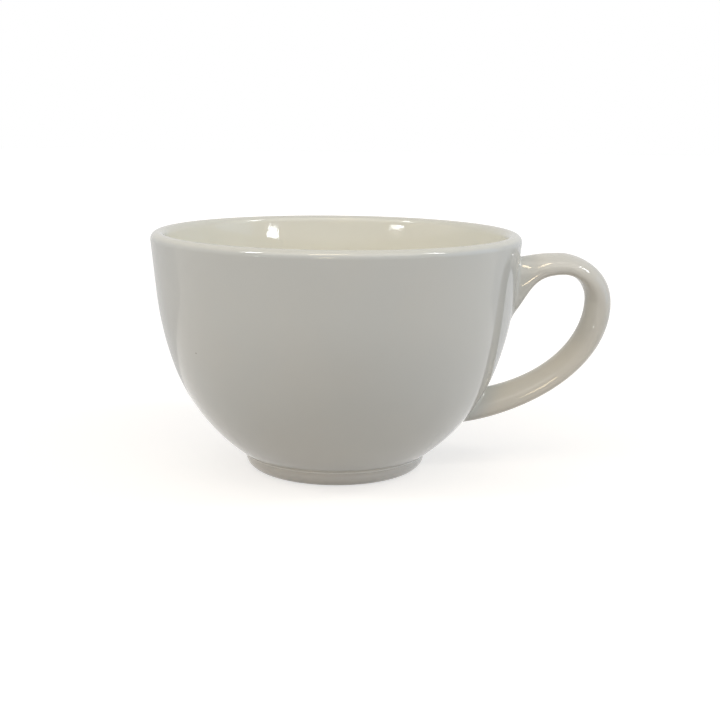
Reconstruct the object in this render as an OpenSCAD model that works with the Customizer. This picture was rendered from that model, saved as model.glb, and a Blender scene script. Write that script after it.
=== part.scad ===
// Latte cup: a wide thick-walled bowl on a low foot ring, with one looped handle.
// Millimetres. +Z is up, the origin is the centre of the foot's resting land, and the
// handle points along +X. It is put together the way a pottery does it: the bowl, the
// foot ring and the handle are formed apart and stuck with slip, so each seam has its
// own slip joint. Once fired nothing moves.

/* [Bowl] */
// Diameter across the rim
rim_d = 110; // [104:1:116]
// Height from the table to the top of the rim
cup_h = 71.6; // [69:0.2:74]
// Thickness of the wall
wall_t = 4.4; // [3.6:0.1:5]
// Lean of the straight upper wall, degrees off vertical
wall_lean = 5.4; // [4:0.1:6.5]
// Height where the straight wall starts to curve in
curve_start_z = 54; // [51:0.5:57]
// Radius of the belly's upper curve
upper_belly_r = 95; // [90:1:100]
// Lean where the belly's two curves meet, degrees off vertical
belly_lean = 18.5; // [17.5:0.1:19.5]
// Radius of the belly's lower curve
lower_belly_r = 56; // [54:0.5:58]
// Thickness of the floor inside the foot
floor_t = 5; // [4:0.1:6]
// Radius that blends the inside of the wall into the floor
floor_blend_r = 24; // [18:0.5:28]

/* [Foot] */
// Diameter of the foot ring at its waist
foot_d = 54.8; // [53:0.2:57]
// Radius of the cove that runs the foot ring's side into the bowl
foot_cove_r = 2; // [1:0.1:3]
// Width of the flat land that the cup stands on
land_w = 2.4; // [1.8:0.1:4]
// Depth of the hollow under the floor
recess_d = 3; // [2:0.1:3.2]

/* [Handle] */
// How far the handle stands out past the rim
handle_out = 28.1; // [24:0.1:32]
// Height of the top of the handle
handle_top_z = 65.5; // [63:0.1:66]
// Thickness of the handle at its top
top_t = 6.3; // [5.5:0.1:7.5]
// Thickness of the handle at its outermost bend
grip_t = 7.6; // [7:0.1:9]
// Width of the handle's grip, across the loop
grip_w = 12; // [9:0.1:13]
// Width of the handle where it meets the wall
root_w = 14; // [12:0.2:16]
// How far the handle's widest line lies below its middle, as a share of half its thickness
nose_drop = 0.45; // [0:0.05:0.45]

/* [Slip] */
// Thickness of the slip between the foot ring and the bowl
slip_t = 0.4; // [0.3:0.05:0.6]
// How far the slip round a handle root rises from the wall
slip_rise = 1.6; // [1:0.1:2]

/* [Hidden] */
$fn = 128;

// Colours of the glaze and of the slip seams
glaze_white = [0.86, 0.85, 0.80];
slip_cream = [0.80, 0.77, 0.70];

// Farthest that the chords of a drawn arc may stray from it
arc_tol = 0.02;

// Unit vector at an angle in the section plane
function along(a) = [cos(a), sin(a)];
// Steps that keep the chords of an arc within arc_tol of it
function arc_steps(r, sweep) = ceil(abs(sweep) / acos(1 - arc_tol / r) / 2);
// Points of an arc, from angle a0 to a1
function arc(c, r, a0, a1) =
    let (n = arc_steps(r, a1 - a0))
    [for (i = [0:n]) c + r * along(a0 + (a1 - a0) * i / n)];
// Radius from the axis at which a circle of radius q lies on the level z, inside the circle c, r
function nested_r(c, r, q, z) = c[0] + sqrt(pow(r - q, 2) - pow(c[1] - z - q, 2));

// The wall's outer line: rim, straight wall, then two tangent arcs down to the foot
rim_r = rim_d / 2;
lip_r = wall_t / 2;
rim_c = [rim_r - lip_r, cup_h - lip_r];
straight_top = rim_c + lip_r * along(-wall_lean);
straight_len = (straight_top[1] - curve_start_z) / cos(wall_lean);
straight_low = straight_top - straight_len * [sin(wall_lean), cos(wall_lean)];
upper_c = straight_low - upper_belly_r * along(-wall_lean);
lower_c = upper_c + (upper_belly_r - lower_belly_r) * along(-belly_lean);
belly_z = upper_c[1] - upper_belly_r * sin(belly_lean);

// The cove touches the foot ring's waist and the wall. The seam lies just under the touch on the wall.
foot_r = foot_d / 2;
cove_r = foot_r + foot_cove_r;
waist_z = lower_c[1] - sqrt(pow(lower_belly_r + foot_cove_r, 2) - pow(cove_r - lower_c[0], 2));
cove_c = [cove_r, waist_z];
base_lean = asin((lower_c[1] - waist_z) / (lower_belly_r + foot_cove_r));
base_z = waist_z + foot_cove_r * sin(base_lean);
foot_h = base_z - slip_t;
seam_lean = asin((foot_h - waist_z) / foot_cove_r);

// The foot ring's outer edge is round from the waist down to the land
land_out_r = foot_r - waist_z;
land_in_r = land_out_r - land_w;
foot_inner_edge_r = 1.5;
hollow_r = land_in_r - foot_inner_edge_r;
ring_seat_gap = 0.1;

// Blend of the wall into the floor inside
floor_z = recess_d + floor_t;
floor_c = [nested_r(lower_c, lower_belly_r - wall_t, floor_blend_r, floor_z), floor_z + floor_blend_r];
floor_lean = asin((lower_c[1] - floor_c[1]) / (lower_belly_r - wall_t - floor_blend_r));

// Points up the wall at a distance out from its outer face, from a lean at the bottom to the rim
function wall_line(out, low_lean) = concat(
    arc(lower_c, lower_belly_r + out, -low_lean, -belly_lean),
    arc(upper_c, upper_belly_r + out, -belly_lean, -wall_lean),
    [straight_top + out * along(-wall_lean)]
);
function reversed(list) = [for (i = [len(list) - 1:-1:0]) list[i]];

// Solid inside the wall's outer face
module wall_fill() {
    line = wall_line(0, base_lean);
    rotate_extrude()
        polygon(concat([[0, line[0][1]]], line, [[0, straight_top[1]]]));
}

// Bowl: a boss under the floor sits in the foot ring, and the rim is fully round
module bowl() {
    boss_r = hollow_r - ring_seat_gap;
    underside = [[0, recess_d], [boss_r, recess_d], [boss_r, base_z]];
    outside = wall_line(0, base_lean);
    rim = arc(rim_c, lip_r, -wall_lean, 180 - wall_lean);
    inside = reversed(wall_line(-wall_t, floor_lean));
    floor_blend = arc(floor_c, floor_blend_r, -floor_lean, -90);
    color(glaze_white)
        rotate_extrude()
            polygon(concat(underside, outside, rim, inside, floor_blend, [[0, floor_z]]));
}

// Foot ring: a flat land to stand on, a full round outer edge, and a cove that runs into the bowl
module foot_ring() {
    inner_edge = arc([land_in_r, foot_inner_edge_r], foot_inner_edge_r, 180, 270);
    outer_edge = arc([land_out_r, waist_z], waist_z, -90, 0);
    cove = arc(cove_c, foot_cove_r, 180, 180 - seam_lean);
    color(glaze_white)
        rotate_extrude()
            polygon(concat(inner_edge, outer_edge, cove, [[hollow_r, foot_h]]));
}

// Slip between the foot ring and the bowl, sponged flush with the cove
module foot_slip_joint() {
    flush_edge = arc(cove_c, foot_cove_r, 180 - seam_lean, 180 - base_lean);
    color(slip_cream)
        rotate_extrude()
            polygon(concat([[hollow_r, foot_h]], flush_edge, [[hollow_r, base_z]]));
}

// The handle is swept between an outer and an inner edge in the plane of the loop. Each
// knot of an edge is [r, z, heading in degrees, pull before the knot, pull after it].
handle_outer = [
    [rim_r - 4, handle_top_z - 1.8, 7, 0, 9],
    [rim_r + 12.6, handle_top_z, 0, 7.8, 4],
    [rim_r + handle_out, 50.2, -90, 11.6, 22],
    [rim_r - 19, 13.35, -175, 17.3, 0]
];
handle_inner = [
    [rim_r - 5.5, 43.1, 41, 0, 11.6],
    [rim_r + 13.3, handle_top_z - top_t, 0, 11.9, 4],
    [rim_r + handle_out - grip_t, 51.5, -90, 4.5, 15],
    [rim_r - 22, 22.55, -180, 25.6, 0]
];
handle_rings = 48;
ring_sides = 32;
// Share of the sweep over which each root widens
flare_share = 0.3;
// Share of the sweep within which each root meets the wall
root_share = 0.3;
// Steps of the slip's hollow curve between the handle and the wall
slip_steps = 6;

// Point at u, 0 to 1, along an edge: one cubic span between each two knots
function span_point(a, b, t) =
    let (p0 = [a[0], a[1]], p3 = [b[0], b[1]])
    let (p1 = p0 + a[4] * along(a[2]), p2 = p3 - b[3] * along(b[2]))
    pow(1 - t, 3) * p0 + 3 * t * pow(1 - t, 2) * p1 + 3 * t * t * (1 - t) * p2 + pow(t, 3) * p3;
function edge_point(knots, u) =
    let (spans = len(knots) - 1, i = min(floor(u * spans), spans - 1))
    span_point(knots[i], knots[i + 1], u * spans - i);
function handle_width(u) =
    let (near_root = max(0, 1 - min(u, 1 - u) / flare_share))
    grip_w + (root_w - grip_w) * near_root * near_root;

// Middle of the handle at u, and the point at angle a round its section. The section is an egg with
// its wide side down on both arms, so that a broad face slopes up towards the thumb and the fingers.
function handle_middle(u) =
    let (m = (edge_point(handle_outer, u) + edge_point(handle_inner, u)) / 2)
    [m[0], 0, m[1]];
function handle_point(u, a) =
    let (half = (edge_point(handle_outer, u) - edge_point(handle_inner, u)) / 2)
    let (nose_shift = -nose_drop * half[1] / norm(half))
    let (out = half * (cos(a) + nose_shift * pow(sin(a), 2)))
    handle_middle(u) + [out[0], handle_width(u) / 2 * sin(a), out[1]];
function side_angle(k) = 360 * k / ring_sides;

// Handle: a sweep whose two roots are cut to the curve of the wall
module handle() {
    rows = [for (j = [0:handle_rings]) [for (k = [0:ring_sides - 1])
        handle_point(j / handle_rings, side_angle(k))]];
    sides = [for (j = [0:handle_rings - 1], k = [0:ring_sides - 1])
        let (next = (k + 1) % ring_sides, a = j * ring_sides, b = a + ring_sides)
        [a + k, b + k, b + next, a + next]];
    first = [for (k = [0:ring_sides - 1]) k];
    last = [for (k = [ring_sides - 1:-1:0]) handle_rings * ring_sides + k];
    color(glaze_white)
        difference() {
            polyhedron([for (row = rows) each row], concat(sides, [first, last]), convexity = 4);
            wall_fill();
        }
}

// How far a point stands out from the wall, and the wall's point nearest its level
function wall_r(z) =
    z > curve_start_z ? straight_low[0] + (z - curve_start_z) * tan(wall_lean) :
    z > belly_z ? upper_c[0] + sqrt(pow(upper_belly_r, 2) - pow(z - upper_c[1], 2)) :
    lower_c[0] + sqrt(pow(lower_belly_r, 2) - pow(z - lower_c[1], 2));
function clear_of_wall(p) = norm([p[0], p[1]]) - wall_r(p[2]);
function on_wall(p) =
    let (k = wall_r(p[2]) / norm([p[0], p[1]]))
    [p[0] * k, p[1] * k, p[2]];

// Where the handle at angle a stands out from the wall by a distance, found by halving
function root_u(a, out, u_in, u_out, halvings = 24) =
    let (mid = (u_in + u_out) / 2)
    halvings == 0 ? mid :
    clear_of_wall(handle_point(mid, a)) < out ?
        root_u(a, out, mid, u_out, halvings - 1) :
        root_u(a, out, u_in, mid, halvings - 1);

// Section of the slip at angle a: down the handle, hollow out to the wall, back along the wall
function slip_section(a, u_in, u_out) =
    let (u_seam = root_u(a, 0, u_in, u_out), seam = handle_point(u_seam, a))
    let (high = handle_point(root_u(a, slip_rise, u_in, u_out), a))
    let (away = seam - handle_middle(u_seam))
    let (low = on_wall(seam + away / norm(away) * norm(high - seam)))
    concat([seam], [for (j = [0:slip_steps]) let (t = j / slip_steps)
        pow(1 - t, 2) * high + 2 * t * (1 - t) * seam + t * t * low]);

// Slip round a handle root, sponged to a hollow curve. turn is 1 or -1, the way the sides run.
module root_slip(u_in, u_out, turn) {
    rows = [for (k = [0:ring_sides - 1]) slip_section(turn * side_angle(k), u_in, u_out)];
    n = slip_steps + 2;
    faces = [for (k = [0:ring_sides - 1], j = [0:n - 1])
        let (a = k * n, b = (k + 1) % ring_sides * n, next = (j + 1) % n)
        [a + j, a + next, b + next, b + j]];
    color(slip_cream)
        polyhedron([for (row = rows) each row], faces, convexity = 4);
}

module upper_slip_joint() {
    root_slip(0, root_share, 1);
}

module lower_slip_joint() {
    root_slip(1, 1 - root_share, -1);
}

bowl();
foot_ring();
foot_slip_joint();
handle();
upper_slip_joint();
lower_slip_joint();
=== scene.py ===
# %% [markdown]
# # A glazed latte cup
# A cup looks simple, and that is what makes it hard: there is nothing to look at but its line,
# its gloss and the way the handle grows out of the wall. This lesson turns the bowl and the foot
# from one drawn section each, sweeps the handle between two edges, sponges the slip seams smooth
# and dresses everything in a white glaze that stays thin in one place and gathers in another.
#
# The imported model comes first. It fixes every size and place, so nothing is fitted afterwards.

from math import asin, cos, pi, radians, sin, sqrt, tan

import bmesh
import bpy
from mathutils import Matrix, Quaternion, Vector


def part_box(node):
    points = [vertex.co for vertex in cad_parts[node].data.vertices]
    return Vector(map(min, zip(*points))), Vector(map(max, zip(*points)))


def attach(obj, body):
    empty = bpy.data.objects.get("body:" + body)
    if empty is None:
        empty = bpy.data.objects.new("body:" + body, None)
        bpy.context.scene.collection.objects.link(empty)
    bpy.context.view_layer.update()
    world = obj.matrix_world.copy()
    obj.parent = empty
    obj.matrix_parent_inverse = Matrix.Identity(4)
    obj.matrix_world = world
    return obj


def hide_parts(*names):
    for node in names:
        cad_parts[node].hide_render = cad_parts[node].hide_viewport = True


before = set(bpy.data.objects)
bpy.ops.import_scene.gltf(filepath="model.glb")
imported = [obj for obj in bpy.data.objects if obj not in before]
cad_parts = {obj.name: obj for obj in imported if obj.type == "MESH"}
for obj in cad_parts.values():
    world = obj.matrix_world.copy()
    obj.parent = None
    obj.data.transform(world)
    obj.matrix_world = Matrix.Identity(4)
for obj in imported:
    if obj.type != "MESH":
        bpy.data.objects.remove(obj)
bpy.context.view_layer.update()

# %% [markdown]
# ## Sizes
# The rim, the height and the foot are read from the frame. The rest are the few radii and leans
# that the potter's template would carry: a straight wall, two arcs for the belly, one blend
# into the floor. Everything is in metres, so a millimetre gets a name.

# %% Sizes of the bowl and the foot
MM = 0.001
bowl_low, bowl_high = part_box("bowl")
foot_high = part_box("foot_ring")[1]
slip_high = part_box("foot_slip_joint")[1]
handle_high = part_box("handle")[1]

RIM_R = bowl_high[1]
CUP_H = bowl_high[2]
RECESS_Z = bowl_low[2]
BASE_Z = slip_high[2]
WALL_T = 4.4 * MM
WALL_LEAN = radians(5.4)
CURVE_START_Z = 54 * MM
UPPER_BELLY_R = 95 * MM
BELLY_LEAN = radians(18.5)
LOWER_BELLY_R = 56 * MM
FLOOR_T = 5 * MM
FLOOR_BLEND_R = 24 * MM

FOOT_H = foot_high[2]
FOOT_R = 27.4 * MM
FOOT_COVE_R = 2 * MM
LAND_W = 2.4 * MM
INNER_EDGE_R = 1.5 * MM
print(f"rim {RIM_R * 2 / MM:.1f} mm, cup {CUP_H / MM:.1f} mm tall, foot {FOOT_R * 2 / MM:.1f} mm")

# %% [markdown]
# ## The wall's line
# The section is drawn in the XZ plane, where x is the distance from the axis. Two arcs that meet
# without a kink have their centres on one line through the meeting point, so each centre follows
# from the one before it. The same centres serve the inside: a wall of even thickness is the
# same arcs with the thickness taken off their radii.

# %% Centres of the wall's arcs
def along(angle):
    """Unit vector at an angle in the section plane, as (r, z)."""
    return Vector((cos(angle), sin(angle)))


def nested_centre(centre, radius, small, level):
    """Centre of a small circle that lies on a level and touches a large circle from inside."""
    rise = centre.y - level - small
    return Vector((centre.x + sqrt((radius - small) ** 2 - rise**2), level + small))


LIP_R = WALL_T / 2
RIM_C = Vector((RIM_R - LIP_R, CUP_H - LIP_R))
STRAIGHT_TOP = RIM_C + LIP_R * along(-WALL_LEAN)
straight_drop = STRAIGHT_TOP.y - CURVE_START_Z
STRAIGHT_LOW = STRAIGHT_TOP - Vector((straight_drop * tan(WALL_LEAN), straight_drop))
UPPER_C = STRAIGHT_LOW - UPPER_BELLY_R * along(-WALL_LEAN)
LOWER_C = UPPER_C + (UPPER_BELLY_R - LOWER_BELLY_R) * along(-BELLY_LEAN)
BELLY_Z = UPPER_C.y - UPPER_BELLY_R * sin(BELLY_LEAN)

FLOOR_Z = RECESS_Z + FLOOR_T
FLOOR_C = nested_centre(LOWER_C, LOWER_BELLY_R - WALL_T, FLOOR_BLEND_R, FLOOR_Z)
FLOOR_LEAN = asin((LOWER_C.y - FLOOR_C.y) / (LOWER_BELLY_R - WALL_T - FLOOR_BLEND_R))


def wall_r(z):
    """Radius of the wall's outer face at a height."""
    if z > CURVE_START_Z:
        return STRAIGHT_LOW.x + (z - CURVE_START_Z) * tan(WALL_LEAN)
    if z > BELLY_Z:
        return UPPER_C.x + sqrt(UPPER_BELLY_R**2 - (z - UPPER_C.y) ** 2)
    return LOWER_C.x + sqrt(LOWER_BELLY_R**2 - (z - LOWER_C.y) ** 2)


print(f"belly's arcs meet {BELLY_Z / MM:.1f} mm up, {wall_r(BELLY_Z) / MM:.1f} mm from the axis")

# %% [markdown]
# The foot's cove is one more arc. It touches the belly from outside, and it is upright where it
# meets the foot's side, so its centre is one cove radius out from there.

# %% Centre of the foot's cove
cove_r = FOOT_R + FOOT_COVE_R
cove_reach = LOWER_BELLY_R + FOOT_COVE_R
COVE_C = Vector((cove_r, LOWER_C.y - sqrt(cove_reach**2 - (cove_r - LOWER_C.x) ** 2)))
BASE_LEAN = asin((LOWER_C.y - COVE_C.y) / cove_reach)
SEAM_LEAN = asin((FOOT_H - COVE_C.y) / FOOT_COVE_R)
WAIST_Z = COVE_C.y
LAND_OUT_R = FOOT_R - WAIST_Z
LAND_IN_R = LAND_OUT_R - LAND_W
HOLLOW_R = LAND_IN_R - INNER_EDGE_R
print(f"the foot's side is upright {WAIST_Z / MM:.2f} mm up, its land starts {LAND_IN_R / MM:.1f} mm out")

# %% [markdown]
# ## Drawing with a compass, turning on a wheel
# A section could be typed in as a list of points, but then its arcs are lost. Here one vertex is
# the pencil: extruding it rules a straight line, and spinning it about a centre draws an arc. One
# last full spin about the cup's axis is the wheel.

# %% Pencil, compass and wheel
WHEEL_STEPS = 192
MERGE_GAP = 0.001 * MM


def pencil_at(bm, point):
    """Starts a section at (r, z)."""
    return bm.verts.new((point[0], 0, point[1]))


def rule_to(bm, pencil, point):
    """Rules a straight line from the pencil to (r, z)."""
    end = bmesh.ops.extrude_vert_indiv(bm, verts=[pencil])["verts"][0]
    end.co = (point[0], 0, point[1])
    return end


def swing(bm, pencil, centre, angle, steps):
    """Swings the pencil about a centre at (r, z). A positive angle goes from +X towards +Z."""
    pin = (centre[0], 0, centre[1])
    made = bmesh.ops.spin(bm, geom=[pencil], cent=pin, axis=(0, -1, 0), angle=angle, steps=steps)
    return next(g for g in made["geom_last"] if isinstance(g, bmesh.types.BMVert))


def turn_on_wheel(bm):
    """Turns the drawn section once about the cup's axis and closes the seam and the poles."""
    drawn = bm.verts[:] + bm.edges[:]
    turn = {"cent": (0, 0, 0), "axis": (0, 0, 1), "angle": 2 * pi, "steps": WHEEL_STEPS}
    bmesh.ops.spin(bm, geom=drawn, use_merge=True, **turn)
    bmesh.ops.remove_doubles(bm, verts=bm.verts[:], dist=MERGE_GAP)
    bmesh.ops.recalc_face_normals(bm, faces=bm.faces[:])


print("the wheel takes", WHEEL_STEPS, "steps a turn")

# %% [markdown]
# A finished mesh becomes a piece of the cup: smooth but for true corners, riding on the one body
# that the cup has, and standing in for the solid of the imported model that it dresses.

# %% From mesh to piece
SHARP_ANGLE = radians(35)


def as_piece(bm, name, node, material):
    """Makes the bmesh an object of the cup: smooth, on the root body, in place of its CAD node."""
    for face in bm.faces:
        face.smooth = True
    for edge in bm.edges:
        if len(edge.link_faces) == 2 and edge.calc_face_angle() > SHARP_ANGLE:
            edge.smooth = False
    mesh = bpy.data.meshes.new(name)
    bm.to_mesh(mesh)
    open_edges = sum(len(edge.link_faces) != 2 for edge in bm.edges)
    bm.free()
    piece = bpy.data.objects.new(name, mesh)
    bpy.context.scene.collection.objects.link(piece)
    mesh.materials.append(material)
    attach(piece, "root")
    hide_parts(node)
    print(f"{name}: {len(mesh.polygons)} faces, {open_edges} open edges")


# %% [markdown]
# ## The glaze
# The cup wears one white glaze, a glassy coat fired over pale clay. The outside is a stone white
# that drifts a little in tone. The other tones are painted light and shade: the inside is painted a
# lighter, creamier white for the light that gathers in the hollow, and the round of the rim is
# painted darker, painted shade against the light it catches from above. The handle is painted warmer
# for the warm light it catches, and lighter still down its lower arm. The foot and a pale line over
# its seam are painted lighter against the shade under the belly. A few pinhead specks of iron have
# come through.
#
# The drift and the specks sit on object coordinates. Where a tone follows the form, the mesh says
# so in an attribute of its own: one for the lighter inside and one for the darker crest on the bowl,
# and one by the roots on the handle, where it takes the wall's stone white.

# %% Tones of the glaze
STONE_WHITE = ((0.70, 0.69, 0.64, 1), (0.685, 0.685, 0.645, 1))
# Lighter, creamier tone inside the bowl: painted light for the light that gathers in the hollow.
INSIDE_LIT_CREAM = ((0.87, 0.845, 0.75, 1), (0.875, 0.84, 0.735, 1))
# Darker tone on the rim's crest: painted shade against the light the crest catches from above.
CREST_SHADE_CREAM = (0.72, 0.69, 0.605, 1)
# The handle's white is warmed as painted light, for the warm light it catches.
HANDLE_WARM_LIT_WHITE = ((0.705, 0.67, 0.595, 1), (0.695, 0.665, 0.60, 1))
# Lighter, creamier tone down the handle's lower arm: painted light.
LOWER_ARM_LIT_CREAM = ((0.80, 0.74, 0.63, 1), (0.79, 0.735, 0.635, 1))
# The foot's lighter tone is painted light, against the shade the cup casts round its foot.
FOOT_LIT_WHITE = ((0.90, 0.855, 0.77, 1), (0.89, 0.85, 0.775, 1))
# Pale tone on the band over the foot's seam: painted light against the shade in the cove.
SEAM_LIT_WHITE = ((0.93, 0.895, 0.82, 1), (0.92, 0.89, 0.825, 1))
SPECK_BROWN = (0.20, 0.15, 0.10, 1)
BARE_CLAY = (0.66, 0.60, 0.50, 1)
# Heights of the painted light on the handle's lower arm.
LOWER_ARM_LIT_HEIGHTS = (46 * MM, 32 * MM)
# Heights of the painted light over the foot's seam.
SEAM_LIT_HEIGHTS = (BASE_Z + 1.4 * MM, BASE_Z + 0.2 * MM)
# The cream inside and the pale band called pooled below are painted light.
print("stone white outside, cream inside, pooled below", round(SEAM_LIT_HEIGHTS[0] / MM, 1), "mm")

# %% [markdown]
# A shader tree is long to write out node by node. A small bench takes over the wiring, so that the
# recipe for the glaze reads as a recipe.

# %% A bench for shader nodes
class NodeBench:
    """Adds nodes to one material and wires them, each call one node."""

    def __init__(self, name):
        self.material = bpy.data.materials.new(name)
        self.material.use_nodes = True
        self.nodes = self.material.node_tree.nodes
        self.links = self.material.node_tree.links
        self.shader = self.nodes["Principled BSDF"]
        self.place = self.nodes.new("ShaderNodeTexCoord").outputs["Object"]

    def add(self, kind, inputs=None, **settings):
        """Adds a node, sets its settings, and sets or wires its inputs."""
        made = self.nodes.new("ShaderNode" + kind)
        for key, value in settings.items():
            setattr(made, key, value)
        for key, value in (inputs or {}).items():
            if isinstance(value, bpy.types.NodeSocket):
                self.links.new(value, made.inputs[key])
            else:
                made.inputs[key].default_value = value
        return made

    def noise(self, scale, detail=2.0):
        inputs = {"Vector": self.place, "Scale": scale, "Detail": detail}
        return self.add("TexNoise", inputs).outputs["Fac"]

    def attribute(self, name):
        """Value that the mesh carries under a name."""
        return self.add("Attribute", attribute_name=name).outputs["Fac"]

    def fade(self, value, low, high, start=0.0, end=1.0):
        """Smooth step of a value from start, at low, to end, at high."""
        inputs = {"Value": value, "From Min": low, "From Max": high, "To Min": start, "To Max": end}
        return self.add("MapRange", inputs, interpolation_type="SMOOTHSTEP").outputs["Result"]

    def maths(self, operation, a, b):
        return self.add("Math", {0: a, 1: b}, operation=operation).outputs[0]

    def blend(self, share, first, second):
        """Mixes two colours by a share."""
        made = self.add("Mix", {"Factor": share}, data_type="RGBA")
        for socket, value in ((made.inputs[6], first), (made.inputs[7], second)):
            if isinstance(value, bpy.types.NodeSocket):
                self.links.new(value, socket)
            else:
                socket.default_value = value
        return made.outputs[2]

    def finish(self, colour, roughness, height, bump_depth):
        self.links.new(colour, self.shader.inputs["Base Color"])
        self.links.new(roughness, self.shader.inputs["Roughness"])
        bump = self.add("Bump", {"Height": height, "Distance": bump_depth, "Strength": 1.0})
        self.links.new(bump.outputs["Normal"], self.shader.inputs["Normal"])
        return self.material


# %% [markdown]
# The recipe: a slow drift between two tones, other tones painted as light and shade where the cup
# catches more or less light, specks in a few cells of a Voronoi pattern, and a relief of a
# micrometre or two. The surface is smooth but not optical, so reflections wobble slightly.

# %% Mix the glaze
DRIFT_SCALE = 28
DRIFT_BAND = (0.35, 0.65)
SPECK_CELLS = 260.0
SPECK_CHANCE = (0.992, 0.994)
SPECK_EDGE = (0.06, 0.03)
RIPPLE_SCALE = 120
RIPPLE_SHARE = 0.7
PEEL_SCALE = 700
PEEL_SHARE = 0.3
RELIEF_DEPTH = 0.0015 * MM
GLOSS_SCALE = 90
GLOSS_BAND = (0.3, 0.7)
GLOSS_ROUGHNESS = (0.02, 0.05)
GLAZE_IOR = 1.52
WIPE_SCALE = 600
WIPE_RAGGED = 0.2 * MM
WIPE_LINE = (0.5 * MM, 0.3 * MM)
CLAY_ROUGHNESS = 0.6


def glaze_coat(name, tones, lit_inside=None, lit_low_tones=None, heights=None, rooted=None, bare_land=False):
    """A coat of glaze that drifts between two tones.

    lit_inside gives two lighter tones, painted light, for where the mesh's lit_inside attribute is 1,
    and the tone is painted darker, painted shade, where its crest_shade attribute is. lit_low_tones
    gives two tones for the lower part, painted light, and heights says from where to where. rooted
    gives two tones for where the mesh's rooted attribute is 1. With bare_land the lowest face shows the
    clay, as a foot is wiped before firing.
    """
    bench = NodeBench(name)
    height = bench.add("SeparateXYZ", {"Vector": bench.place}).outputs["Z"]
    drift = bench.fade(bench.noise(DRIFT_SCALE, 3), *DRIFT_BAND)
    colour = bench.blend(drift, *tones)
    # Painted light inside the bowl, and painted shade on the rim's crest.
    if lit_inside:
        colour = bench.blend(bench.attribute("lit_inside"), colour, bench.blend(drift, *lit_inside))
        colour = bench.blend(bench.attribute("crest_shade"), colour, CREST_SHADE_CREAM)
    # Painted light on the lower part: the band over the foot's seam, or the handle's lower arm.
    if lit_low_tones:
        share = bench.fade(height, *heights)
        colour = bench.blend(share, colour, bench.blend(drift, *lit_low_tones))
    if rooted:
        share = bench.fade(bench.attribute("rooted"), 0, 1)
        colour = bench.blend(share, colour, bench.blend(drift, *rooted))

    specks = bench.add("TexVoronoi", {"Vector": bench.place, "Scale": SPECK_CELLS})
    lot = bench.add("SeparateColor", {"Color": specks.outputs["Color"]}).outputs[0]
    chosen = bench.fade(lot, *SPECK_CHANCE)
    dot = bench.fade(specks.outputs["Distance"], *SPECK_EDGE)
    colour = bench.blend(bench.maths("MULTIPLY", chosen, dot), colour, SPECK_BROWN)

    ripple = bench.maths("MULTIPLY", bench.noise(RIPPLE_SCALE, 1), RIPPLE_SHARE)
    peel = bench.maths("MULTIPLY", bench.noise(PEEL_SCALE, 2), PEEL_SHARE)
    relief = bench.maths("ADD", ripple, peel)
    roughness = bench.fade(bench.noise(GLOSS_SCALE, 3), *GLOSS_BAND, *GLOSS_ROUGHNESS)
    if bare_land:
        ragged = bench.maths("MULTIPLY", bench.noise(WIPE_SCALE), WIPE_RAGGED)
        bare = bench.fade(bench.maths("ADD", height, ragged), *WIPE_LINE)
        colour = bench.blend(bare, colour, BARE_CLAY)
        dull = bench.maths("MULTIPLY", bare, CLAY_ROUGHNESS)
        roughness = bench.maths("ADD", roughness, dull)
    bench.shader.inputs["IOR"].default_value = GLAZE_IOR
    return bench.finish(colour, roughness, relief, RELIEF_DEPTH)


# The bowl's lighter inside, darker crest and pale band over the seam are painted light and shade.
bowl_glaze = glaze_coat(
    "bowl_glaze", STONE_WHITE, lit_inside=INSIDE_LIT_CREAM, lit_low_tones=SEAM_LIT_WHITE, heights=SEAM_LIT_HEIGHTS
)
# The handle's warm white and lighter lower arm are painted light; by the roots it takes the wall's stone
# white.
handle_glaze = glaze_coat(
    "handle_glaze", HANDLE_WARM_LIT_WHITE, lit_low_tones=LOWER_ARM_LIT_CREAM, heights=LOWER_ARM_LIT_HEIGHTS, rooted=STONE_WHITE
)
# The foot's lighter white is painted light against the shade the cup casts round it; the land is bare
# clay.
foot_glaze = glaze_coat("foot_glaze", FOOT_LIT_WHITE, bare_land=True)
# The seam's pale tone is painted light against the shade in the cove.
seam_glaze = glaze_coat("seam_glaze", SEAM_LIT_WHITE)
print("glazes:", [m.name for m in (bowl_glaze, handle_glaze, foot_glaze, seam_glaze)])

# %% [markdown]
# ## The bowl
# On the real cup the bowl is jiggered: clay is pressed against a turning mould by a template. So
# here: the template's line is drawn once, from the boss under the floor, up the outside, over the
# full-round rim and down the inside to the floor's middle, and then turned.
#
# Just below the rim's inner end, one extra ring holds the shading. Without it the wall's normals
# would lean towards the rim's, and every light inside the cup would sit in the wrong place.

# %% Turn the bowl
SEAT_GAP = 0.1 * MM
EDGE_HOLD = 0.4 * MM
LOWER_STEPS = 24
UPPER_STEPS = 16
RIM_STEPS = 32
INNER_STEPS = 12
FLOOR_STEPS = 20
# Where the lighter inside tone, painted light, starts over the rim, and how fast the crest's painted
# shade fades.
LIT_INSIDE_LINE = (0.15, 0.40)
CREST_SHADE_FADE = 0.3

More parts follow.
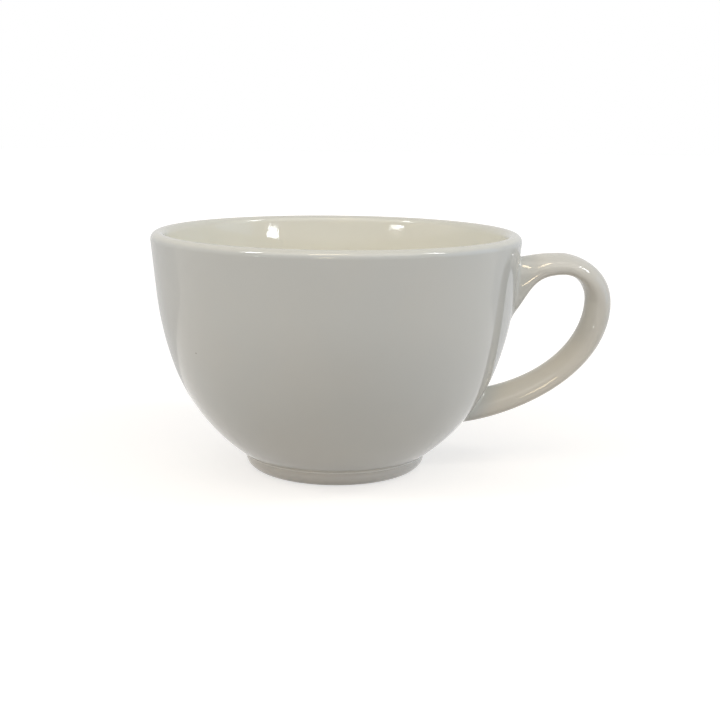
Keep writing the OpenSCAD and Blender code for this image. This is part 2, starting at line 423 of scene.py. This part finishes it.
bm = bmesh.new()
lit_inside = bm.verts.layers.float.new("lit_inside")
crest_shade = bm.verts.layers.float.new("crest_shade")
pencil = pencil_at(bm, (0, RECESS_Z))
pencil = rule_to(bm, pencil, (HOLLOW_R - SEAT_GAP, RECESS_Z))
pencil = rule_to(bm, pencil, (HOLLOW_R - SEAT_GAP, BASE_Z))
pencil = rule_to(bm, pencil, LOWER_C + LOWER_BELLY_R * along(-BASE_LEAN))
pencil = swing(bm, pencil, LOWER_C, BASE_LEAN - BELLY_LEAN, LOWER_STEPS)
pencil = swing(bm, pencil, UPPER_C, BELLY_LEAN - WALL_LEAN, UPPER_STEPS)
pencil = rule_to(bm, pencil, STRAIGHT_TOP)
below_rim = set(bm.verts)
pencil = swing(bm, pencil, RIM_C, pi, RIM_STEPS)
rim = [vert for vert in bm.verts if vert not in below_rim]
inner_top = STRAIGHT_TOP - WALL_T * along(-WALL_LEAN)
pencil = rule_to(bm, pencil, inner_top - EDGE_HOLD * along(pi / 2 - WALL_LEAN))
pencil = rule_to(bm, pencil, STRAIGHT_LOW - WALL_T * along(-WALL_LEAN))
pencil = swing(bm, pencil, UPPER_C, WALL_LEAN - BELLY_LEAN, UPPER_STEPS)
pencil = swing(bm, pencil, LOWER_C, BELLY_LEAN - FLOOR_LEAN, INNER_STEPS)
pencil = swing(bm, pencil, FLOOR_C, FLOOR_LEAN - pi / 2, FLOOR_STEPS)
pencil = rule_to(bm, pencil, (0, FLOOR_Z))
# The inside gets the lighter tone, painted light; the rim's crest is painted darker, painted shade.
for vert in bm.verts:
    vert[lit_inside] = 0 if vert in below_rim else 1
for k, vert in enumerate(rim, start=1):
    over = k / RIM_STEPS
    vert[lit_inside] = min(1, max(0, (over - LIT_INSIDE_LINE[0]) / (LIT_INSIDE_LINE[1] - LIT_INSIDE_LINE[0])))
    vert[crest_shade] = min(vert[lit_inside], (1 - over) / CREST_SHADE_FADE)
turn_on_wheel(bm)
as_piece(bm, "bowl_wall", "bowl", bowl_glaze)

# %% [markdown]
# ## The foot ring and its seam
# The foot is a low ring with a soft outer edge, a cove that carries the eye up to the bowl and a
# narrow flat land underneath, left bare so that it doesn't stick to the kiln shelf. The slip that
# holds it fills the joint between ring and bowl, and the glaze stands over it in a fine bead.

# %% Turn the foot ring
EDGE_STEPS = 8
SIDE_STEPS = 14
COVE_STEPS = 10

bm = bmesh.new()
first = pencil = pencil_at(bm, (HOLLOW_R, FOOT_H))
pencil = rule_to(bm, pencil, (HOLLOW_R, INNER_EDGE_R))
pencil = swing(bm, pencil, (LAND_IN_R, INNER_EDGE_R), pi / 2, EDGE_STEPS)
pencil = rule_to(bm, pencil, (LAND_OUT_R, 0))
pencil = swing(bm, pencil, (LAND_OUT_R, WAIST_Z), pi / 2, SIDE_STEPS)
pencil = swing(bm, pencil, COVE_C, -SEAM_LEAN, COVE_STEPS)
bm.edges.new((pencil, first))
turn_on_wheel(bm)
as_piece(bm, "foot_ring_turned", "foot_ring", foot_glaze)

# %% Turn the seam and its bead
BEAD_STEPS = 8

bm = bmesh.new()
bead_low = COVE_C + FOOT_COVE_R * along(pi - SEAM_LEAN)
bead_high = COVE_C + FOOT_COVE_R * along(pi - BASE_LEAN)
first = pencil = pencil_at(bm, (HOLLOW_R, BASE_Z))
pencil = rule_to(bm, pencil, (HOLLOW_R, FOOT_H))
pencil = rule_to(bm, pencil, bead_low)
pencil = swing(bm, pencil, (bead_low + bead_high) / 2, pi, BEAD_STEPS)
bm.edges.new((pencil, first))
turn_on_wheel(bm)
as_piece(bm, "foot_slip_seam", "foot_slip_joint", seam_glaze)

# %% [markdown]
# ## The handle
# A handle like this is cast or pulled as a strap and bent to shape. In side view it is drawn by
# two edges, an outer and an inner one, that come together at the top and swell towards the lower
# root. Each edge is a few knots with a heading and a pull, joined by cubic curves. Rings of an
# egg-shaped section, its wide side down, are set between the two edges and bridged, ring to ring.

# %% Edges of the handle
TOP_T = 6.3 * MM
GRIP_T = 7.6 * MM
HANDLE_REACH = handle_high[0]
HANDLE_TOP_Z = handle_high[2]
RIM_MM = RIM_R / MM
OUTER_EDGE = [
    (RIM_MM - 4, HANDLE_TOP_Z / MM - 1.8, 7, 0, 9),
    (RIM_MM + 12.6, HANDLE_TOP_Z / MM, 0, 7.8, 4),
    (HANDLE_REACH / MM, 50.2, -90, 11.6, 22),
    (RIM_MM - 19, 13.35, -175, 17.3, 0),
]
INNER_EDGE = [
    (RIM_MM - 5.5, 43.1, 41, 0, 11.6),
    (RIM_MM + 13.3, (HANDLE_TOP_Z - TOP_T) / MM, 0, 11.9, 4),
    ((HANDLE_REACH - GRIP_T) / MM, 51.5, -90, 4.5, 15),
    (RIM_MM - 22, 22.55, -180, 25.6, 0),
]


def edge_point(knots, u):
    """Point at u, 0 to 1, along an edge. A knot is r, z, heading in degrees, pull before and after."""
    spans = len(knots) - 1
    i = min(int(u * spans), spans - 1)
    t = u * spans - i
    s = 1 - t
    r0, z0, heading0, _, pull0 = knots[i]
    r3, z3, heading3, pull3, _ = knots[i + 1]
    p0, p3 = Vector((r0, z0)), Vector((r3, z3))
    p1 = p0 + pull0 * along(radians(heading0))
    p2 = p3 - pull3 * along(radians(heading3))
    return MM * (s**3 * p0 + 3 * t * s**2 * p1 + 3 * t**2 * s * p2 + t**3 * p3)


print(f"the handle reaches {HANDLE_REACH / MM:.1f} mm out and {HANDLE_TOP_Z / MM:.1f} mm up")

# %% Section of the handle
GRIP_W = 12 * MM
ROOT_W = 14 * MM
FLARE_SHARE = 0.3
NOSE_DROP = 0.45


def handle_middle(u):
    middle = (edge_point(OUTER_EDGE, u) + edge_point(INNER_EDGE, u)) / 2
    return Vector((middle.x, 0, middle.y))


def handle_point(u, angle):
    """Point of the handle's skin at u along it and an angle round its section."""
    half = (edge_point(OUTER_EDGE, u) - edge_point(INNER_EDGE, u)) / 2
    nose_shift = -NOSE_DROP * half.y / half.length
    out = half * (cos(angle) + nose_shift * sin(angle) ** 2)
    near_root = max(0, 1 - min(u, 1 - u) / FLARE_SHARE)
    width = GRIP_W + (ROOT_W - GRIP_W) * near_root**2
    return handle_middle(u) + Vector((out.x, width / 2 * sin(angle), out.y))


print("section", GRIP_W / MM, "mm wide at the grip and", ROOT_W / MM, "mm at the roots")

# %% [markdown]
# The handle's skin runs on into the wall, so each line along it is cut where it meets the wall's
# face. That place has no tidy formula, but it is easily hemmed in: halve the stretch thirty times.

# %% Find where the roots meet the wall
ROOT_SHARE = 0.3
ROOT_DEPTH = 1 * MM
ROOT_TONE = (0.5 * MM, 8 * MM)
HALVINGS = 30


def clear_of_wall(point):
    return sqrt(point.x**2 + point.y**2) - wall_r(point.z)


def mark_roots(bm):
    """Writes an attribute that is 1 by the wall and fades to 0 further out."""
    rooted = bm.verts.layers.float.new("rooted")
    near, far = ROOT_TONE
    for vert in bm.verts:
        vert[rooted] = min(1, max(0, (far - clear_of_wall(vert.co)) / (far - near)))


def on_wall(point, sunk=0.0):
    """The wall's point at the same level and bearing."""
    k = (wall_r(point.z) - sunk) / sqrt(point.x**2 + point.y**2)
    return Vector((point.x * k, point.y * k, point.z))


def root_u(angle, out, u_in, u_out):
    """Where the handle stands out from the wall by a distance, found by halving."""
    for _ in range(HALVINGS):
        middle = (u_in + u_out) / 2
        if clear_of_wall(handle_point(middle, angle)) < out:
            u_in = middle
        else:
            u_out = middle
    return (u_in + u_out) / 2


for root, u_in, u_out in (("upper", 0, ROOT_SHARE), ("lower", 1, 1 - ROOT_SHARE)):
    seam = handle_point(root_u(0, 0, u_in, u_out), 0)
    print(f"{root} root: the outer edge meets the wall {seam.z / MM:.1f} mm up")

# %% Sweep the handle
HANDLE_RINGS = 120
RING_SIDES = 64


def ring_of(bm, point_at):
    """A ring of vertices, each put where point_at(angle) says. Gives the ring's edges."""
    made = bmesh.ops.create_circle(bm, segments=RING_SIDES, radius=1)["verts"]
    for k, vert in enumerate(made):
        vert.co = point_at(2 * pi * k / RING_SIDES)
    return list({edge for vert in made for edge in vert.link_edges})


side_angles = [2 * pi * k / RING_SIDES for k in range(RING_SIDES)]
upper_ends = {a: root_u(a, -ROOT_DEPTH, 0, ROOT_SHARE) for a in side_angles}
lower_ends = {a: root_u(a, -ROOT_DEPTH, 1, 1 - ROOT_SHARE) for a in side_angles}


def trimmed_point(share, angle):
    """Point of the handle's skin at a share of the way from one sunk root to the other."""
    return handle_point(upper_ends[angle] + (lower_ends[angle] - upper_ends[angle]) * share, angle)


bm = bmesh.new()
rings = [
    ring_of(bm, lambda angle, share=j / HANDLE_RINGS: trimmed_point(share, angle))
    for j in range(HANDLE_RINGS + 1)
]
for ring, following in zip(rings, rings[1:]):
    bmesh.ops.bridge_loops(bm, edges=ring + following)
bmesh.ops.edgeloop_fill(bm, edges=rings[0])
bmesh.ops.edgeloop_fill(bm, edges=rings[-1])
bmesh.ops.recalc_face_normals(bm, faces=bm.faces[:])
mark_roots(bm)
as_piece(bm, "handle_loop", "handle", handle_glaze)

# %% [markdown]
# ## The slip at the handle's roots
# The roots are stuck to the wall with slip, and the potter runs a wet sponge round each seam, so
# the wall and the handle flow into each other. For every angle round the root, one curve leaves
# the handle along its skin and lands flat on the wall, with the seam itself as the curve's corner.

# %% Sponge the two seams
SLIP_RISE = 1.6 * MM
SLIP_STEPS = 10
SUNK = 0.03 * MM
BURIED_SHARE = 0.2


def slip_corners(angle, u_in, u_out):
    """The slip's three corners at an angle: up the handle, in the seam, out on the wall."""
    u_seam = root_u(angle, 0, u_in, u_out)
    seam = handle_point(u_seam, angle)
    high = handle_point(root_u(angle, SLIP_RISE, u_in, u_out), angle)
    away = (seam - handle_middle(u_seam)).normalized()
    low = on_wall(seam + away * (high - seam).length, SUNK)
    return high - SUNK * away, seam, low


def sponge_seam(name, node, u_in, u_out):
    """Rings along the slip's curve, closed by one ring that is buried behind the seam."""
    corners = {angle: slip_corners(angle, u_in, u_out) for angle in side_angles}

    def on_curve(t, angle):
        high, seam, low = corners[angle]
        return (1 - t) ** 2 * high + 2 * t * (1 - t) * seam + t * t * low

    def buried(angle):
        high, seam, low = corners[angle]
        return seam - BURIED_SHARE * (high + low - 2 * seam)

    bm = bmesh.new()
    rings = [
        ring_of(bm, lambda angle, t=j / SLIP_STEPS: on_curve(t, angle))
        for j in range(SLIP_STEPS + 1)
    ]
    rings.append(ring_of(bm, buried))
    for ring, following in zip(rings, rings[1:] + rings[:1]):
        bmesh.ops.bridge_loops(bm, edges=ring + following)
    bmesh.ops.recalc_face_normals(bm, faces=bm.faces[:])
    mark_roots(bm)
    as_piece(bm, name, node, handle_glaze)


sponge_seam("upper_slip_fillet", "upper_slip_joint", 0, ROOT_SHARE)
sponge_seam("lower_slip_fillet", "lower_slip_joint", 1, 1 - ROOT_SHARE)

# %% [markdown]
# ## The studio
# A glossy cup is a mirror, so the studio is mostly what it reflects. The surround and the floor
# are white wherever they are seen, straight or in the glaze, and give off less than that as
# light, so the cup keeps its own tone. To tell these apart, a material asks what kind of ray has
# struck it.

# %% Helpers for the studio
WHITE = (1, 1, 1, 1)


def math_node(nodes, links, operation, first, second):
    """A node of arithmetic on two sockets."""
    made = nodes.new("ShaderNodeMath")
    made.operation = operation
    links.new(first, made.inputs[0])
    links.new(second, made.inputs[1])
    return made.outputs[0]


def rising(nodes, links, value, reach, near, far):
    """Smooth rise of a value from near, at 0, to far, at reach."""
    made = nodes.new("ShaderNodeMapRange")
    made.interpolation_type = "SMOOTHSTEP"
    links.new(value, made.inputs["Value"])
    made.inputs["From Max"].default_value = reach
    made.inputs["To Min"].default_value = near
    made.inputs["To Max"].default_value = far
    return made.outputs["Result"]


def kinds_of_ray(nodes, links):
    """Two sockets: 1 for rays from the camera, and 1 for mirror and glass rays."""
    path = nodes.new("ShaderNodeLightPath").outputs
    glossy, glassy = path["Is Glossy Ray"], path["Is Transmission Ray"]
    return path["Is Camera Ray"], math_node(nodes, links, "MAXIMUM", glossy, glassy)


def stage_sheet(name, width, height, place, material):
    """A flat sheet that stands in the studio and isn't part of the cup."""
    bm = bmesh.new()
    bmesh.ops.create_grid(bm, x_segments=1, y_segments=1, size=0.5)
    bmesh.ops.scale(bm, vec=(width, height, 1), verts=bm.verts[:])
    bmesh.ops.transform(bm, matrix=place, verts=bm.verts[:])
    mesh = bpy.data.meshes.new(name)
    bm.to_mesh(mesh)
    bm.free()
    mesh.materials.append(material)
    sheet = bpy.data.objects.new(name, mesh)
    bpy.context.scene.collection.objects.link(sheet)
    return sheet


# %% [markdown]
# The floor is white through its own glow, which the cup can't shade, and through the light that
# falls on it, which the cup does shade. In the glaze the glow sinks towards the cup, as a floor
# looks darker close to what stands on it.

# %% Floor
FLOOR_SIZE = 6.0
FLOOR_TONE = (0.58, 0.545, 0.505, 1)
FLOOR_GLOW_NEAR = 0.62
FLOOR_GLOW_FAR = 0.90
GLOW_REACH = 1.6
MIRROR_GLOW_NEAR = 0.62
MIRROR_REACH = 0.16

floor_material = bpy.data.materials.new("pale_floor")
floor_material.use_nodes = True
nodes, links = floor_material.node_tree.nodes, floor_material.node_tree.links
shader = nodes["Principled BSDF"]
shader.inputs["Base Color"].default_value = FLOOR_TONE
shader.inputs["Roughness"].default_value = 1.0
shader.inputs["Specular IOR Level"].default_value = 0.0
shader.inputs["Emission Color"].default_value = WHITE
length = nodes.new("ShaderNodeVectorMath")
length.operation = "LENGTH"
links.new(nodes.new("ShaderNodeTexCoord").outputs["Object"], length.inputs[0])
from_cup = length.outputs["Value"]
seen, mirrored = kinds_of_ray(nodes, links)
open_glow = rising(nodes, links, from_cup, GLOW_REACH, FLOOR_GLOW_NEAR, FLOOR_GLOW_FAR)
open_glow = math_node(nodes, links, "MULTIPLY", seen, open_glow)
mirror_glow = rising(nodes, links, from_cup, MIRROR_REACH, MIRROR_GLOW_NEAR, FLOOR_GLOW_FAR)
mirror_glow = math_node(nodes, links, "MULTIPLY", mirrored, mirror_glow)
glow = math_node(nodes, links, "ADD", open_glow, mirror_glow)
links.new(glow, shader.inputs["Emission Strength"])
stage_sheet("floor", FLOOR_SIZE, FLOOR_SIZE, Matrix.Identity(4), floor_material)
print("floor", FLOOR_SIZE, "m wide")

# %% White surround
AMBIENT = 0.36
AMBIENT_TINT = (0.97, 1.0, 1.05, 1)

world = bpy.data.worlds.new("white_surround")
bpy.context.scene.world = world
world.use_nodes = True
nodes, links = world.node_tree.nodes, world.node_tree.links
light_only = nodes["Background"]
light_only.inputs["Color"].default_value = AMBIENT_TINT
light_only.inputs["Strength"].default_value = AMBIENT
backdrop = nodes.new("ShaderNodeBackground")
backdrop.inputs["Color"].default_value = WHITE
backdrop.inputs["Strength"].default_value = 1.0
choose = nodes.new("ShaderNodeMixShader")
links.new(math_node(nodes, links, "MAXIMUM", *kinds_of_ray(nodes, links)), choose.inputs[0])
links.new(light_only.outputs[0], choose.inputs[1])
links.new(backdrop.outputs[0], choose.inputs[2])
links.new(choose.outputs[0], nodes["World Output"].inputs["Surface"])
print("white where it is seen, ambient light", AMBIENT)

# %% [markdown]
# A glaze seen edge-on is nearly a full mirror, so against a white surround the cup would get
# burnt-out white outlines. A photographer stands a grey card just out of the picture for that.
# This one stands behind the cup and only reflections see it.

# %% Grey card behind the cup
CARD_DARK = 0.74
CARD_HALF_WIDTH = 0.25
CARD_HEIGHT = 0.5
CARD_BEHIND = 0.06

card_material = bpy.data.materials.new("grey_card")
card_material.use_nodes = True
nodes, links = card_material.node_tree.nodes, card_material.node_tree.links
across = nodes.new("ShaderNodeSeparateXYZ")
links.new(nodes.new("ShaderNodeTexCoord").outputs["Object"], across.inputs[0])
off_middle = nodes.new("ShaderNodeMath")
off_middle.operation = "ABSOLUTE"
links.new(across.outputs["X"], off_middle.inputs[0])
fade = rising(nodes, links, off_middle.outputs[0], CARD_HALF_WIDTH, CARD_DARK, 1.0)
card_glow = nodes.new("ShaderNodeEmission")
card_glow.inputs["Color"].default_value = WHITE
links.new(fade, card_glow.inputs["Strength"])
links.new(card_glow.outputs[0], nodes["Material Output"].inputs["Surface"])
card_material.cycles.emission_sampling = "NONE"
upright = Matrix.Translation((0, CARD_BEHIND, CARD_HEIGHT / 2)) @ Matrix.Rotation(pi / 2, 4, "X")
card = stage_sheet("grey_card", 2 * CARD_HALF_WIDTH, CARD_HEIGHT, upright, card_material)
card.visible_camera = False
card.visible_diffuse = False
card.visible_transmission = False
card.visible_shadow = False
print("grey card stands", CARD_BEHIND / MM, "mm behind the cup's axis")

# %% [markdown]
# Two windows, left and right, put the small lights on the rim and on the bend of the handle. A
# wide warm box overhead lights what faces up, broad skies tint the flanks, and a fill keeps the
# back from going dull. Four small lights are for the glaze's mirror alone and light nothing: two
# low panes make the spots inside the bowl, and two warm strips draw the thin lines on the handle.

# %% Two kinds of light
LIGHT_DISTANCE = 1.4
DAYLIGHT = (0.96, 0.99, 1.0)
WARM = (1.0, 0.95, 0.86)
LAMPLIGHT = (1.0, 0.80, 0.50)
SKYLIGHT = (0.55, 0.82, 1.2)


def soft_box(name, bearing, elevation, wide, tall, radiance, colour):
    """A rectangular light aimed at the cup. Angles are degrees, bearing to the camera's right."""
    lamp = bpy.data.lights.new(name, "AREA")
    lamp.shape = "RECTANGLE"
    lamp.size = 2 * LIGHT_DISTANCE * tan(radians(wide / 2))
    lamp.size_y = 2 * LIGHT_DISTANCE * tan(radians(tall / 2))
    lamp.color = colour
    lamp.energy = radiance * pi * lamp.size * lamp.size_y
    box = bpy.data.objects.new(name, lamp)
    bpy.context.scene.collection.objects.link(box)
    a, e = radians(bearing), radians(elevation)
    offset = LIGHT_DISTANCE * Vector((sin(a) * cos(e), -cos(a) * cos(e), sin(e)))
    box.location = offset + Vector((0, 0, CUP_H))
    box.rotation_euler = offset.to_track_quat("Z", "Y").to_euler()
    return box


def glint(name, bearing, elevation, wide, tall, radiance, colour, roll=0):
    """A soft box that only the glaze's mirror sees, with round ends and rolled about its aim."""
    box = soft_box(name, bearing, elevation, wide, tall, radiance, colour)
    box.data.shape = "ELLIPSE"
    box.data.energy *= pi / 4
    box.visible_diffuse = False
    aim = box.rotation_euler.to_quaternion()
    box.rotation_euler = (aim @ Quaternion((0, 0, 1), radians(roll))).to_euler()


# %% Hang the lights
soft_box("left_window", -64, 45, 8, 12, 12, DAYLIGHT)
soft_box("right_window", 76, 45, 8, 12, 12, DAYLIGHT)
soft_box("left_sky", -85, 12, 50, 36, 0.25, WARM)
soft_box("right_sky", 90, 12, 50, 36, 0.60, SKYLIGHT)
soft_box("front_box", 0, 62, 80, 40, 1.25, WARM)
soft_box("back_fill", 180, 40, 60, 30, 0.6, DAYLIGHT)
glint("left_low_pane", -45.2, 4.87, 11.7, 0.23, 24, DAYLIGHT, roll=1.7)
glint("right_low_pane", 48.6, 4.26, 9.5, 0.75, 24, DAYLIGHT, roll=-2)
glint("ceiling_strip", -9, 64.6, 24, 4.5, 13, LAMPLIGHT, roll=47)
glint("wall_strip", -6, 19, 10, 4.5, 15, LAMPLIGHT)

# %% [markdown]
# ## The camera
# The camera stands a little above the rim and looks slightly down. Its place came from fitting
# the rim's and the foot's ellipses: how round each looks gives the angle, and how the two differ
# gives the distance.

# %% Camera
CAMERA_DISTANCE = 0.350
CAMERA_HEIGHT = 0.1054
PITCH = radians(11.83)
YAW = radians(1.21)
ROLL = radians(0.70)
IMAGE_WIDTH = 720
FOCAL_PIXELS = 1169.5
SENSOR_WIDTH = 36

camera_data = bpy.data.cameras.new("camera")
camera_data.sensor_fit = "HORIZONTAL"
camera_data.sensor_width = SENSOR_WIDTH
camera_data.lens = FOCAL_PIXELS / IMAGE_WIDTH * SENSOR_WIDTH
camera_data.clip_start = 10 * MM
camera = bpy.data.objects.new("camera", camera_data)
bpy.context.scene.collection.objects.link(camera)
aim = Matrix.Rotation(-YAW, 4, "Z") @ Matrix.Rotation(pi / 2 - PITCH, 4, "X")
place = Matrix.Translation((0, -CAMERA_DISTANCE, CAMERA_HEIGHT))
camera.matrix_world = place @ aim @ Matrix.Rotation(ROLL, 4, "Z")
bpy.context.scene.camera = camera
bpy.context.scene.view_settings.view_transform = "Standard"
print("lens", round(camera_data.lens, 2), "mm")
